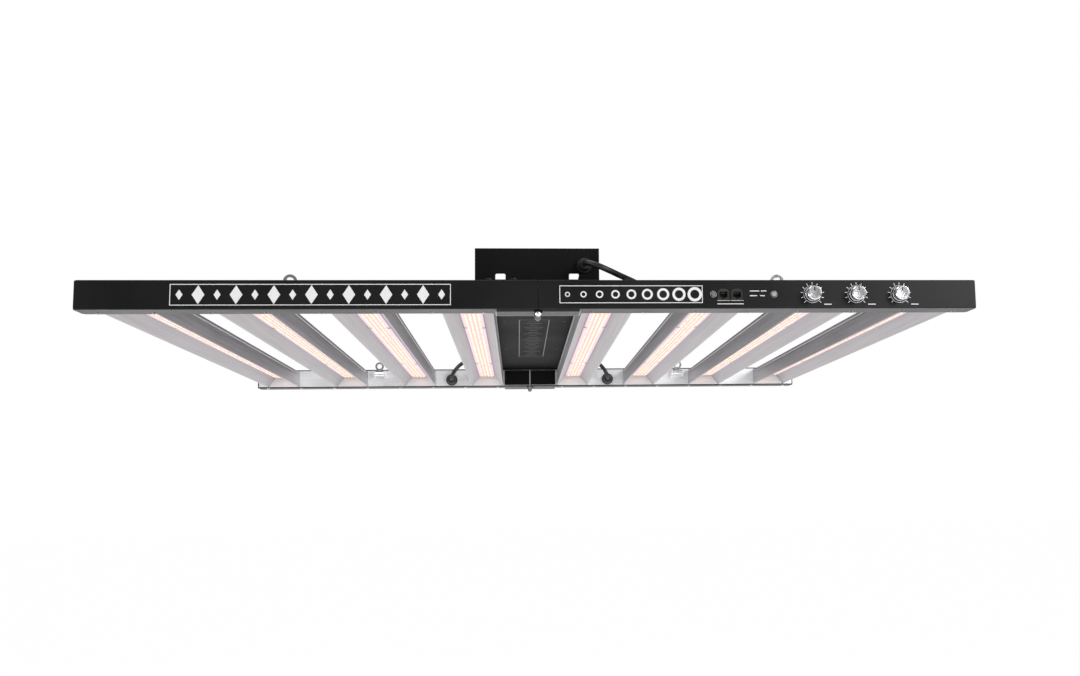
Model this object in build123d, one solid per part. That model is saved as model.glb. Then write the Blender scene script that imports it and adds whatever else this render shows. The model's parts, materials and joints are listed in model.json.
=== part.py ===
from build123d import *
import math
import os

# Folding LED grow light: two wings of four light bars between hollow rails, hinged under
# the rails, with the driver on a spine over the fold. Millimetres, X across, Y front to
# back, Z up. Heights below are measured from the underside of the rails, and everything
# is moved down at the end so that the origin is the centre of the four hanging eyes.

# overall sizes
width = 1100.0
depth = 1080.0

# rails
rail_size = 36.0
rail_wall = 2.0
rail_edge_radius = 1.0
seam_gap = 0.6
inner_wall = 1.5
inner_lip = 11.5
cap_thickness = 2.0
cap_corner = 3.0
plug_depth = 12.0
plug_wall = 1.5
plug_clearance = 0.1

# light bars
bars_per_wing = 4
bar_pitch = 137.0
first_bar_x = 87.4
bar_width = 64.0
bar_bottom = 2.5
bar_height = 29.0
bar_side_wall = 1.5
deck_bottom = 20.6
deck_thickness = 2.4
reflector_wall = 1.4
lip_width = 2.5
groove_depth = 1.2
groove_height = 4.0
groove_drop = 7.5
fin_thickness = 1.5
fin_pitch = 5.0
fin_count = 5
boss_x = 20.0
boss_size = 8.0
board_width = 30.0
board_thickness = 1.6
board_end_gap = 12.0
board_seat_play = 0.5
board_screw_x = 12.5
board_screw_share = 0.244

# fasteners
bar_screw_radius = 2.0
bar_screw_depth = 14.0
board_screw_radius = 1.5
flange_screw_radius = 1.5
flange_screws_below = 8
flange_screws_above = 4
hinge_screw_radius = 2.0
screw_hole_play = 0.1

# fold hinges
leaf_length = 52.0
leaf_depth = 36.0
leaf_thickness = 3.0
knuckle_radius = 4.25
knuckle_drop = 4.7
knuckle_length = 10.0
knuckle_gap = 0.3
hinge_setback = 6.0
hinge_length = 34.0
pin_radius = 2.5
pin_play = 0.05
pin_head_radius = 4.0

# stiffeners beside the fold
seam_plate_length = 51.0
seam_plate_height = 30.0
seam_plate_thickness = 2.0

# hanging eyes
hanger_x = 306.0
bracket_width = 28.0
bracket_height = 22.0
bracket_thickness = 2.0
eye_pivot_height = 26.0
eye_pivot_offset = 5.5
eye_barrel_radius = 4.0
eye_barrel_length = 19.0
eye_pin_radius = 2.0
eye_arm = 16.0
eye_hole_radius = 5.0
eye_outer_radius = 8.5
eye_thickness = 3.0
ear_gap = 0.3
ear_thickness = 2.2

# driver spine
tray_width = 150.0
tray_end_setback = 8.0
tray_thickness = 1.5
tray_clearance = 0.5
tray_flange = 14.0
bulkhead_width = 158.0
bulkhead_top = 87.0
bulkhead_setback = 57.0
bulkhead_thickness = 2.0
window_x = 46.7
window_width = 12.7
window_bottom = 42.0
window_top = 54.4
driver_width = 78.0
driver_length = 380.0
driver_height = 36.0
driver_fin_height = 6.0
driver_wall = 2.2
driver_lead_x = 18.0
driver_lead_height = 56.0

# leads and glands
lead_diameter = 7.5
bulkhead_gland_x = 60.0
bulkhead_gland_height = 64.5
bulkhead_gland_radius = 9.5
rail_gland_x = 160.0
rail_gland_radius = 11.5
gland_length = 12.0
gland_thread_radius = 6.5
front_gland_height = 18.0
rear_gland_height = 14.0
harness_radius = 3.0

# mains inlet
inlet_height = 62.0
inlet_width = 28.0
inlet_tall = 20.0
inlet_depth = 22.0
inlet_wall = 3.0

# controls in the front of the right wing
knob_places = (341.0, 397.0, 452.0)
control_height = 18.0
knob_radius = 9.3
knob_top_radius = 8.6
knob_length = 13.0
knob_lift = 1.0
shaft_radius = 3.0
shaft_play = 0.05
bushing_radius = 3.5
pot_size = 16.0
port_places = (229.0, 246.0)
port_width = 14.0
port_tall = 14.0
port_depth = 12.6
light_x = 216.5
light_radius = 3.0
button_x = 292.6
button_radius = 2.8
button_play = 0.08
button_lift = 1.8
board_face = 13.0
control_board_thickness = 1.6

# derived places
left, right = -1, 1
front, rear = -1, 1
rail_end = width / 2 - cap_thickness
seam = seam_gap / 2
eye_height = eye_pivot_height + eye_arm
inner_face = rail_size
bar_length = depth - 2 * rail_size
board_length = bar_length - 2 * board_end_gap
deck_top = deck_bottom + deck_thickness
bar_top = bar_bottom + bar_height
board_bottom = deck_bottom - board_thickness
boss_height = deck_top + boss_size / 2
tray_bottom = rail_size + tray_clearance
tray_top = tray_bottom + tray_thickness
bulkhead_outside = depth / 2 - bulkhead_setback
bulkhead_inside = bulkhead_outside - bulkhead_thickness


def block(x, y, z):
    """A box from its two limits along each axis."""
    low = [min(span) for span in (x, y, z)]
    high = [max(span) for span in (x, y, z)]
    size = [b - a for a, b in zip(low, high)]
    centre = [(a + b) / 2 for a, b in zip(low, high)]
    return Pos(*centre) * Box(*size)


def from_face(end, inward):
    """The Y of a point at a distance inward from a rail's outer face."""
    return end * (depth / 2 - inward)


def rod_y(x, z, y, radius):
    """A cylinder along Y."""
    return Pos(x, sum(y) / 2, z) * Rot(X=90) * Cylinder(radius, abs(y[1] - y[0]))


def rod_x(y, z, x, radius):
    """A cylinder along X."""
    return Pos(sum(x) / 2, y, z) * Rot(Y=90) * Cylinder(radius, abs(x[1] - x[0]))


def rod_z(x, y, z, radius):
    """A cylinder along Z."""
    return Pos(x, y, sum(z) / 2) * Cylinder(radius, abs(z[1] - z[0]))


def along_x(points, x):
    """An outline of (y, z) points drawn out along X."""
    face = make_face(Plane.YZ.offset(min(x)) * Polyline(*points, close=True))
    return extrude(face, amount=abs(x[1] - x[0]), dir=(1, 0, 0))


def along_y(points, y):
    """An outline of (x, z) points drawn out along Y."""
    face = make_face(Plane.XZ.offset(-min(y)) * Polyline(*points, close=True))
    return extrude(face, amount=abs(y[1] - y[0]), dir=(0, 1, 0))


def save(name, *pieces):
    """Write one named sub-part, moved so that the hanging eyes are at height zero."""
    solids = [solid for piece in pieces for solid in piece.solids()]
    placed = [Pos(0, 0, -eye_height) * solid for solid in solids]
    export_step(Compound(placed), f"parts/{name}.step")


def bar_places(side):
    """The X of each light bar's middle, from the fold outwards."""
    return [side * (first_bar_x + index * bar_pitch) for index in range(bars_per_wing)]


def flange_screw_places(side, count, start):
    """Even places along a rail, clear of what is beside the fold and of the end cap."""
    first = start + 14
    last = rail_end - plug_depth - 6
    step = (last - first) / (count - 1)
    return [side * (first + index * step) for index in range(count)]


def hanger_clear(x):
    """Whether a top flange screw stands clear of a hanging eye."""
    return abs(abs(x) - hanger_x) > bracket_width / 2 + 4


# rails

flange_screw_inward = rail_size - inner_lip / 2 - 1
hinge_screw_x = (18.0, 42.0)
hinge_screw_inward = (9.0, 19.0)


def bottom_screw_holes(side, end):
    """The cylinders of every fastener that passes a rail's lower flange."""
    holes = []
    for x in flange_screw_places(side, flange_screws_below, leaf_length):
        y = from_face(end, flange_screw_inward)
        holes.append(rod_z(x, y, (-1, 5), flange_screw_radius))
    for offset in hinge_screw_x:
        for inward in hinge_screw_inward:
            y = from_face(end, inward)
            holes.append(rod_z(side * offset, y, (-1, 5), hinge_screw_radius))
    return holes


def top_screw_holes(side, end):
    """The cylinders of the cover screws in a rail's upper flange."""
    y = from_face(end, flange_screw_inward)
    places = flange_screw_places(side, flange_screws_above, tray_width / 2)
    span = (rail_size - 5, rail_size + 1)
    return [rod_z(x, y, span, flange_screw_radius) for x in places if hanger_clear(x)]


def rail(side, end):
    """The black outer channel of half a rail."""
    near, far, wall, size = 0, rail_size, rail_wall, rail_size
    outline = [(near, 0), (far, 0), (far, wall), (wall, wall)]
    outline += [(wall, size - wall), (far, size - wall), (far, size), (near, size)]
    points = [(from_face(end, inward), z) for inward, z in outline]
    channel = along_x(points, (side * seam, side * rail_end))
    corners = channel.edges().filter_by(Axis.X)
    corners = corners.filter_by(lambda edge: abs(abs(edge.center().Y) - depth / 2) < 0.01)
    channel = fillet(corners, rail_edge_radius)
    for hole in bottom_screw_holes(side, end) + top_screw_holes(side, end):
        channel -= hole
    return channel


def inner_plate(side, end):
    """The bright channel that closes half a rail on its inner side."""
    low, high = rail_wall, rail_size - rail_wall
    back, tip = rail_size, rail_size - inner_lip
    web = back - inner_wall
    outline = [(back, low), (tip, low), (tip, low + inner_wall), (web, low + inner_wall)]
    outline += [(web, high - inner_wall), (tip, high - inner_wall), (tip, high), (back, high)]
    points = [(from_face(end, inward), z) for inward, z in outline]
    plate = along_x(points, (side * seam, side * rail_end))
    for hole in bottom_screw_holes(side, end) + top_screw_holes(side, end):
        plate -= hole
    reach = (from_face(end, web - 1), from_face(end, back + 1))
    for bar_x in bar_places(side):
        for offset in (-boss_x, boss_x):
            hole = rod_y(bar_x + offset, boss_height, reach, bar_screw_radius + screw_hole_play)
            plate -= hole
    return plate


def end_cap(side, end):
    """A flat cap with a hollow plug that fills the open end of a rail."""
    face = block(
        (side * rail_end, side * width / 2),
        (from_face(end, 0), from_face(end, rail_size)),
        (0, rail_size),
    )
    face = fillet(face.edges().filter_by(Axis.X), cap_corner)
    low = rail_wall + plug_clearance
    high = rail_size - low
    tip = rail_size - inner_lip - plug_clearance
    reach = (side * (rail_end - plug_depth), side * rail_end)
    plug = block(reach, (from_face(end, low), from_face(end, tip)), (low, high))
    hollow = block(
        (reach[0] - side, reach[1]),
        (from_face(end, low + plug_wall), from_face(end, tip - plug_wall)),
        (low + plug_wall, high - plug_wall),
    )
    return face + (plug - hollow)


def seam_plate(side, end):
    """The dark stiffener on a rail's inner face beside the fold."""
    middle = rail_size / 2
    return block(
        (side, side * (1 + seam_plate_length)),
        (from_face(end, inner_face), from_face(end, inner_face + seam_plate_thickness)),
        (middle - seam_plate_height / 2, middle + seam_plate_height / 2),
    )


# light bars


def bar_outline(centre):
    """The outside of a bar's section, without its fins, as (x, z) points."""
    half = bar_width / 2
    seat = board_width / 2 + board_seat_play
    lip = half - lip_width
    inside = half - bar_side_wall
    groove_top = bar_top - groove_drop + groove_height
    groove_low = bar_top - groove_drop
    half_points = [
        (seat, deck_bottom),
        (lip, bar_bottom),
        (half, bar_bottom),
        (half, groove_low),
        (half - groove_depth, groove_low + groove_depth),
        (half - groove_depth, groove_top - groove_depth),
        (half, groove_top),
        (half, bar_top),
        (inside, bar_top),
        (inside, deck_top),
    ]
    mirrored = [(-x, z) for x, z in reversed(half_points)]
    return [(centre + x, z) for x, z in half_points + mirrored]


def bar_chamber(centre, side):
    """The hollow between a bar's reflector and its side wall, as (x, z) points."""
    half = bar_width / 2
    seat = board_width / 2 + board_seat_play
    lip = half - lip_width
    inside = half - bar_side_wall
    run, drop = lip - seat, deck_bottom - bar_bottom
    shift = reflector_wall * math.hypot(run, drop) / drop
    start = seat + shift
    end_height = deck_bottom - (inside - start) * drop / run
    corners = [(start, deck_bottom), (inside, deck_bottom), (inside, end_height)]
    return [(centre + side * x, z) for x, z in corners]


def heat_sink(centre):
    """One extruded bar: reflector trough, hollow sides, deck, fins and screw bosses."""
    span = (-bar_length / 2, bar_length / 2)
    bar = along_y(bar_outline(centre), span)
    for side in (left, right):
        bar -= along_y(bar_chamber(centre, side), span)
    for index in range(fin_count):
        x = centre + (index - (fin_count - 1) / 2) * fin_pitch
        bar += block((x - fin_thickness / 2, x + fin_thickness / 2), span, (deck_top - 0.5, bar_top))
    for side in (left, right):
        x = centre + side * boss_x
        bar += block(
            (x - boss_size / 2, x + boss_size / 2), span, (deck_top - 0.5, deck_top + boss_size)
        )
        bar -= rod_y(x, boss_height, span, bar_screw_radius)
    for x, y in board_screw_places(centre):
        bar -= rod_z(x, y, (deck_bottom - 1, deck_top), board_screw_radius)
    return bar


def board_screw_places(centre):
    """The four screws of one LED board, near its quarter points."""
    y = board_length * board_screw_share
    return [(centre + dx, dy) for dx in (-board_screw_x, board_screw_x) for dy in (-y, y)]


def led_board(centre):
    """The circuit board that carries the LEDs, notched at its screws."""
    half = board_width / 2
    board = block(
        (centre - half, centre + half),
        (-board_length / 2, board_length / 2),
        (board_bottom, deck_bottom),
    )
    for x, y in board_screw_places(centre):
        board -= rod_z(x, y, (board_bottom - 1, deck_bottom + 1), board_screw_radius + screw_hole_play)
    return board


def board_screws(centre):
    """Pan-head screws that hold an LED board to its deck."""
    screws = []
    for x, y in board_screw_places(centre):
        head = rod_z(x, y, (board_bottom - 1.6, board_bottom), board_screw_radius * 1.8)
        shank = rod_z(x, y, (board_bottom - 0.5, deck_top - 0.5), board_screw_radius)
        screws.append(head + shank)
    return screws


def bar_screws(centre, end):
    """Screws from inside a rail through the inner plate into a bar's bosses."""
    seat = rail_size - inner_wall
    screws = []
    for offset in (-boss_x, boss_x):
        x = centre + offset
        head = rod_y(x, boss_height, (from_face(end, seat - 2.5), from_face(end, seat)), 3.5)
        reach = (from_face(end, seat - 1), from_face(end, rail_size + bar_screw_depth))
        screws.append(head + rod_y(x, boss_height, reach, bar_screw_radius))
    return screws


def flange_screws(side, end):
    """Small pan-head screws that fix an inner plate to its rail, below and above."""
    y = from_face(end, flange_screw_inward)
    low_tip = rail_wall + inner_wall
    screws = []
    for x in flange_screw_places(side, flange_screws_below, leaf_length):
        head = rod_z(x, y, (-1.4, 0), flange_screw_radius * 1.75)
        screws.append(head + rod_z(x, y, (-0.5, low_tip), flange_screw_radius))
    for x in flange_screw_places(side, flange_screws_above, tray_width / 2):
        if hanger_clear(x):
            head = rod_z(x, y, (rail_size, rail_size + 1.4), flange_screw_radius * 1.75)
            shank = rod_z(x, y, (rail_size - low_tip, rail_size + 0.5), flange_screw_radius)
            screws.append(head + shank)
    return screws


# fold hinges

leaf_head_depth = 1.2
leaf_head_radius = 3.3


def hinge_span(end):
    """The Y limits of a hinge barrel, outer end first."""
    return from_face(end, hinge_setback), from_face(end, hinge_setback + hinge_length)


def knuckle_spans(end):
    """The Y limits of the outer, middle and inner knuckles."""
    outer, inner = hinge_setback, hinge_setback + hinge_length
    cuts = [
        (outer, outer + knuckle_length),
        (outer + knuckle_length + knuckle_gap, inner - knuckle_length - knuckle_gap),
        (inner - knuckle_length, inner),
    ]
    return [(from_face(end, a), from_face(end, b)) for a, b in cuts]


def hinge_leaf(side, end):
    """A leaf under one rail with its knuckles: outer two on the left, middle one on the right."""
    spans = knuckle_spans(end)
    own = [spans[0], spans[2]] if side == left else [spans[1]]
    start = knuckle_radius + 0.75
    plate = block(
        (side * start, side * leaf_length),
        (from_face(end, 2), from_face(end, 2 + leaf_depth)),
        (-leaf_thickness, 0),
    )
    for span in own:
        plate += block((side, side * (start + 1)), span, (-leaf_thickness, -0.45))
        plate += rod_y(0, -knuckle_drop, span, knuckle_radius)
    radius = pin_radius if side == left else pin_radius + pin_play
    plate -= rod_y(0, -knuckle_drop, (from_face(end, 0), from_face(end, 60)), radius)
    for x, y in hinge_screw_points(side, end):
        plate -= rod_z(x, y, (-leaf_thickness - 1, 1), hinge_screw_radius)
        plate -= rod_z(x, y, (-leaf_thickness - 1, leaf_head_depth - leaf_thickness), leaf_head_radius)
    return plate


def hinge_screw_points(side, end):
    """The four screws of a leaf."""
    return [(side * x, from_face(end, inward)) for x in hinge_screw_x for inward in hinge_screw_inward]


def hinge_screws(side, end):
    """Flush screws through a leaf and a rail flange, each with its nut."""
    seat = leaf_head_depth - leaf_thickness
    screws = []
    for x, y in hinge_screw_points(side, end):
        head = rod_z(x, y, (-leaf_thickness, seat), leaf_head_radius - 0.1)
        shank = rod_z(x, y, (seat - 0.2, rail_wall + 3), hinge_screw_radius)
        nut = rod_z(x, y, (rail_wall, rail_wall + 2.6), hinge_screw_radius + 1.6)
        screws.append(head + shank + nut)
    return screws


def hinge_pin(end):
    """A hinge pin with a domed outer head and a flat inner head."""
    outer, inner = hinge_span(end)
    pin = rod_y(0, -knuckle_drop, (outer, inner), pin_radius)
    dome = Pos(0, outer, -knuckle_drop) * Sphere(pin_head_radius)
    keep = (outer, from_face(end, 0))
    size = pin_head_radius + 1
    dome = dome & block((-size, size), keep, (-knuckle_drop - size, -knuckle_drop + size))
    tail = rod_y(0, -knuckle_drop, (inner, inner - end * 2.5), pin_head_radius)
    return pin + dome + tail


# hanging eyes


def hanger_bracket(side, end):
    """A plate with two ears on a rail's inner face, and the pin of the eye."""
    x = side * hanger_x
    face, plate_face = inner_face, inner_face + bracket_thickness
    pivot = plate_face + eye_pivot_offset
    top = rail_size - rail_wall
    bracket = block(
        (x - bracket_width / 2, x + bracket_width / 2),
        (from_face(end, face), from_face(end, plate_face)),
        (top - bracket_height, top),
    )
    near = eye_barrel_length / 2 + ear_gap
    far = near + ear_thickness
    for sign in (left, right):
        bracket += block(
            (x + sign * near, x + sign * far),
            (from_face(end, plate_face - 0.5), from_face(end, pivot + 5)),
            (eye_pivot_height - 6, eye_pivot_height + 6),
        )
    reach = (x - far - 1.5, x + far + 1.5)
    y = from_face(end, pivot)
    bracket -= rod_x(y, eye_pivot_height, reach, eye_pin_radius)
    pin = rod_x(y, eye_pivot_height, (x - far, x + far), eye_pin_radius)
    for sign in (left, right):
        head = (x + sign * far, x + sign * (far + 1.5))
        pin += rod_x(y, eye_pivot_height, head, eye_pin_radius + 1.2)
    return [bracket, pin]


def hanging_eye(side, end):
    """The swinging eye that takes a hanger hook."""
    x = side * hanger_x
    pivot = inner_face + bracket_thickness + eye_pivot_offset
    span = (from_face(end, pivot - eye_thickness / 2), from_face(end, pivot + eye_thickness / 2))
    neck = eye_outer_radius - 2
    eye = block((x - neck, x + neck), span, (eye_pivot_height, eye_height - 2))
    eye += rod_y(x, eye_height, span, eye_outer_radius)
    barrel = (x - eye_barrel_length / 2, x + eye_barrel_length / 2)
    eye += rod_x(from_face(end, pivot), eye_pivot_height, barrel, eye_barrel_radius)
    eye -= rod_y(x, eye_height, span, eye_hole_radius)
    eye -= rod_x(from_face(end, pivot), eye_pivot_height, barrel, eye_pin_radius + pin_play)
    return eye


# driver spine

tray_screw_places = (-60.0, -30.0)
tray_screw_inward = 17.0
foot_reach = 13.0
foot_length = 30.0
foot_thickness = 3.0
bulkhead_flange = 12.0
bulkhead_screw_x = 30.0


def foot_screw_places():
    """The four screws of the driver's feet."""
    x = driver_width / 2 + foot_reach / 2
    y = driver_length / 2 - foot_length / 2
    return [(sx * x, sy * y) for sx in (left, right) for sy in (front, rear)]


def tray_screw_points():
    """The screws that hold the tray to the left wing's rails."""
    return [(x, from_face(end, tray_screw_inward)) for x in tray_screw_places for end in (front, rear)]


def bulkhead_screw_points():
    """The screws through the bulkheads' lower flanges."""
    y = bulkhead_inside - bulkhead_flange / 2
    return [(sx * bulkhead_screw_x, sy * y) for sx in (left, right) for sy in (front, rear)]


def spine_tray():
    """The tray over the fold: pads on the left rails lift it clear of the right wing."""
    half = tray_width / 2
    reach = depth / 2 - tray_end_setback
    tray = block((-half, half), (-reach, reach), (tray_bottom, tray_top))
    for side in (left, right):
        wall = (side * (half - tray_thickness), side * half)
        tray += block(wall, (-bulkhead_inside, bulkhead_inside), (tray_bottom, tray_top + tray_flange))
    for end in (front, rear):
        pad = (from_face(end, tray_end_setback + 2), from_face(end, rail_size - 1))
        tray += block((-half, tray_screw_places[1] + 10), pad, (rail_size, tray_bottom + 0.2))
    for x, y in tray_screw_points():
        tray -= rod_z(x, y, (rail_size - 1, tray_top + 1), 2.5)
    for x, y in foot_screw_places() + bulkhead_screw_points():
        tray -= rod_z(x, y, (tray_bottom - 1, tray_top + 1), 2.0)
    return tray


def bulkhead(end):
    """A plate across the tray, with two lifting windows and holes for glands."""
    half = bulkhead_width / 2
    plate = block(
        (-half, half), (end * bulkhead_inside, end * bulkhead_outside), (tray_top, bulkhead_top)
    )
    through = (end * (bulkhead_inside - 1), end * (bulkhead_outside + 1))
    for side in (left, right):
        x = side * window_x
        low, high = x - window_width / 2, x + window_width / 2
        window = block((low, high), through, (window_bottom, window_top))
        corners = window.edges().filter_by(Axis.Y).group_by(Axis.Z)[-1]
        plate -= fillet(corners, 2.0)
    flange_y = (end * (bulkhead_inside - bulkhead_flange), end * bulkhead_inside)
    plate += block((-half + 16, half - 16), flange_y, (tray_top, tray_top + tray_thickness))
    for x, y in bulkhead_screw_points():
        plate -= rod_z(x, y, (tray_top - 1, tray_top + 3), 2.0)
    gland_sides = (right,) if end == front else (left, right)
    for side in gland_sides:
        x = side * bulkhead_gland_x
        plate -= rod_y(x, bulkhead_gland_height, through, gland_thread_radius + screw_hole_play)
    if end == rear:
        wide, tall = inlet_width / 2 + screw_hole_play, inlet_tall / 2 + screw_hole_play
        opening = (inlet_height - tall, inlet_height + tall)
        plate -= block((-wide, wide), through, opening)
    return plate


def driver_case():
    """The driver's extruded housing: a finned tube with four feet."""
    half, wall = driver_width / 2, driver_wall
    top = tray_top + driver_height
    span = (-driver_length / 2, driver_length / 2)
    case = block((-half, half), span, (tray_top, top))
    case -= block((-half + wall, half - wall), span, (tray_top + wall, top - wall))
    fins = 9
    for index in range(fins):
        x = (index - (fins - 1) / 2) * (driver_width - 6) / (fins - 1)
        case += block((x - 1, x + 1), span, (top - 0.5, top + driver_fin_height))
    for x, y in foot_screw_places():
        side = math.copysign(1, x)
        case += block(
            (side * (half - 0.5), side * (half + foot_reach)),
            (y - foot_length / 2, y + foot_length / 2),
            (tray_top, tray_top + foot_thickness),
        )
    for x, y in foot_screw_places():
        case -= rod_z(x, y, (tray_top - 1, tray_top + foot_thickness + 1), 2.0)
    return case


def driver_end_cap(end):
    """A driver end plate with a boss for each lead."""
    half = driver_width / 2
    y = end * driver_length / 2
    cap = block((-half, half), (y, y + end * 3), (tray_top, tray_top + driver_height))
    places = (driver_lead_x,) if end == front else (-driver_lead_x, 0, driver_lead_x)
    for x in places:
        cap += rod_y(x, driver_lead_height, (y, y + end * 11), lead_diameter / 2 + 2.5)
    return cap


def driver_board():
    """The driver's circuit board on posts, with its larger components."""
    floor = tray_top + driver_wall
    lift = 4.0
    half = driver_width / 2 - driver_wall - 2
    long_half = driver_length / 2 - 10
    pieces = [block((-half, half), (-long_half, long_half), (floor + lift, floor + lift + 1.6))]
    top = floor + lift + 1.6
    for x in (-half + 5, half - 5):
        for y in (-long_half + 8, long_half - 8):
            pieces.append(rod_z(x, y, (floor, floor + lift), 3.0))
    for x, y, w, d, h in (
        (-14, -120, 34, 44, 22),
        (16, -60, 30, 40, 22),
        (-12, 10, 40, 46, 23),
        (14, 90, 32, 36, 20),
        (-20, 140, 20, 30, 18),
    ):
        pieces.append(block((x - w / 2, x + w / 2), (y - d / 2, y + d / 2), (top, top + h)))
    for y in (-150, -20, 50, 150):
        pieces.append(rod_z(20, y, (top, top + 21), 8.0))
    return pieces


def mains_inlet():
    """A recessed three-blade inlet set through the rear bulkhead."""
    wide, tall = inlet_width / 2, inlet_tall / 2
    low, high = inlet_height - tall, inlet_height + tall
    mouth = bulkhead_outside + 2
    body = block((-wide, wide), (mouth - inlet_depth, mouth), (low, high))
    body += block((-wide - 6, wide + 6), (bulkhead_outside, mouth), (low - 2, high + 2))
    well = (mouth - inlet_depth + 4, mouth + 1)
    body -= block((-wide + inlet_wall, wide - inlet_wall), well, (low + 2.5, high - 2.5))
    blade = (mouth - inlet_depth + 3, mouth - 5)
    for x, z in ((-6, -2), (6, -2), (0, 3)):
        body += block((x - 1, x + 1), blade, (inlet_height + z - 2, inlet_height + z + 2))
    return body


def spine_screws():
    """Every screw of the spine."""
    pieces = []
    for x, y in tray_screw_points():
        head = rod_z(x, y, (tray_top, tray_top + 2.5), 4.2)
        shank = rod_z(x, y, (rail_size - rail_wall - 3, tray_top + 0.5), 2.4)
        nut = rod_z(x, y, (rail_size - rail_wall - 3, rail_size - rail_wall), 4.2)
        pieces.append(head + shank + nut)
    seats = [(point, tray_top + foot_thickness) for point in foot_screw_places()]
    seats += [(point, tray_top + tray_thickness) for point in bulkhead_screw_points()]
    for (x, y), seat in seats:
        head = rod_z(x, y, (seat, seat + 2), 3.5)
        shank = rod_z(x, y, (tray_bottom, seat + 0.5), 1.9)
        pieces.append(head + shank)
    return pieces


# glands and leads


def gland(x, z, face, direction, radius, wall):
    """A cable gland on a face: lock nut behind the wall, body and tapered nose outside."""
    nose = face + direction * gland_length
    collar = face + direction * gland_length * 0.4
    body = rod_y(x, z, (face, collar), radius)
    cone = Solid.make_cone(
        radius * 0.92,
        radius * 0.62,
        gland_length * 0.6,
        Plane(origin=(x, collar, z), z_dir=(0, direction, 0)),
    )
    thread = rod_y(x, z, (face - direction * (wall + 5), face), gland_thread_radius)
    back = face - direction * wall
    lock_nut = rod_y(x, z, (back - direction * 3.5, back), gland_thread_radius + 2.5)
    return body + cone + thread + lock_nut


def rail_gland(x, end, height):
    """A gland on a rail's inner face."""
    return gland(x, height, from_face(end, inner_face), -end, rail_gland_radius, inner_wall)


def bulkhead_gland(x, end):
    """A gland on a bulkhead's outer face."""
    wall = bulkhead_thickness
    face = end * bulkhead_outside
    return gland(x, bulkhead_gland_height, face, end, bulkhead_gland_radius, wall)


def lead_radii(points):
    """The arc at each corner: as large as the shorter of its two runs allows."""
    vectors = [Vector(*point) for point in points]
    radii = []
    for before, corner, after in zip(vectors, vectors[1:], vectors[2:]):
        turn = math.radians((corner - before).get_angle(after - corner))
        run = min((corner - before).length, (after - corner).length)
        radii.append(0.45 * run / math.tan(turn / 2))
    return radii


def lead(name, points):
    """A lead's tube along straight runs joined by tangent arcs."""
    radii = lead_radii(points)
    path = FilletPolyline(*points, radius=radii)
    section = Plane(origin=path @ 0, z_dir=path % 0) * Circle(lead_diameter / 2)
    tube = sweep(section, path=path)
    area = math.pi * lead_diameter**2 / 4
    print(
        f"{name}: length {path.length:.1f} mm, volume {tube.volume / (area * path.length):.4f} "
        f"of section times length, radii {[round(radius, 1) for radius in radii]}"
    )
    return tube


nose = bulkhead_outside + gland_length
rail_nose = depth / 2 - rail_size - gland_length
gland_back = bulkhead_inside - 5
cap_boss = driver_length / 2 + 11


def front_lead_points():
    """From the front bulkhead's gland, down over the rail and back to the right rail's gland."""
    height = bulkhead_gland_height
    return [
        (bulkhead_gland_x, -nose, height),
        (bulkhead_gland_x, -nose - 13, height),
        (bulkhead_gland_x + 9, -nose - 24, height - 4),
        (bulkhead_gland_x + 25, -nose - 25, height - 11),
        (bulkhead_gland_x + 46, -nose - 11, height - 18),
        (bulkhead_gland_x + 68, -nose + 11, height - 23),
        (bulkhead_gland_x + 88, -nose + 27, height - 33),
        (rail_gland_x, -rail_nose + 18, front_gland_height),
        (rail_gland_x, -rail_nose, front_gland_height),
    ]


def rear_lead_points(side):
    """From a rear bulkhead gland, out above the rail and steeply down to a rail's gland."""
    height = bulkhead_gland_height
    return [
        (side * bulkhead_gland_x, nose, height),
        (side * bulkhead_gland_x, nose + 13, height),
        (side * (bulkhead_gland_x + 11), nose + 24, height - 1),
        (side * (bulkhead_gland_x + 32), nose + 22, height - 3.5),
        (side * (bulkhead_gland_x + 57), nose + 4, height - 8),
        (side * (bulkhead_gland_x + 79), nose - 14, height - 18),
        (side * (bulkhead_gland_x + 93), nose - 23, height - 34),
        (side * rail_gland_x, rail_nose - 17, rear_gland_height),
        (side * rail_gland_x, rail_nose, rear_gland_height),
    ]


def inner_lead_points(side, end):
    """From the driver's end cap along the tray to the back of a bulkhead gland."""
    return [
        (side * driver_lead_x, end * cap_boss, driver_lead_height),
        (side * driver_lead_x, end * (cap_boss + 32), driver_lead_height),
        (side * (driver_lead_x + 8), end * (cap_boss + 84), tray_top + 8.5),
        (side * (driver_lead_x + 25), end * (cap_boss + 139), tray_top + 6.5),
        (side * (bulkhead_gland_x - 3), end * (gland_back - 84), tray_top + 12),
        (side * bulkhead_gland_x, end * (gland_back - 36), bulkhead_gland_height),
        (side * bulkhead_gland_x, end * gland_back, bulkhead_gland_height),
    ]


def mains_lead_points():
    """From the mains inlet along the tray to the driver's rear cap."""
    back = bulkhead_outside + 2 - inlet_depth
    return [
        (0, cap_boss, driver_lead_height),
        (0, cap_boss + 40, driver_lead_height),
        (4, cap_boss + 110, tray_top + 9),
        (-3, cap_boss + 180, tray_top + 8),
        (0, back - 40, inlet_height),
        (0, back, inlet_height),
    ]


def harness(side, end):
    """The bundle of wires that feeds the boards, inside a rail."""
    y = from_face(end, rail_size * 0.39)
    height = rail_wall + 6
    return rod_x(y, height, (side * (leaf_length + 6), side * (rail_end - plug_depth - 2)), harness_radius)


# controls


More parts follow.
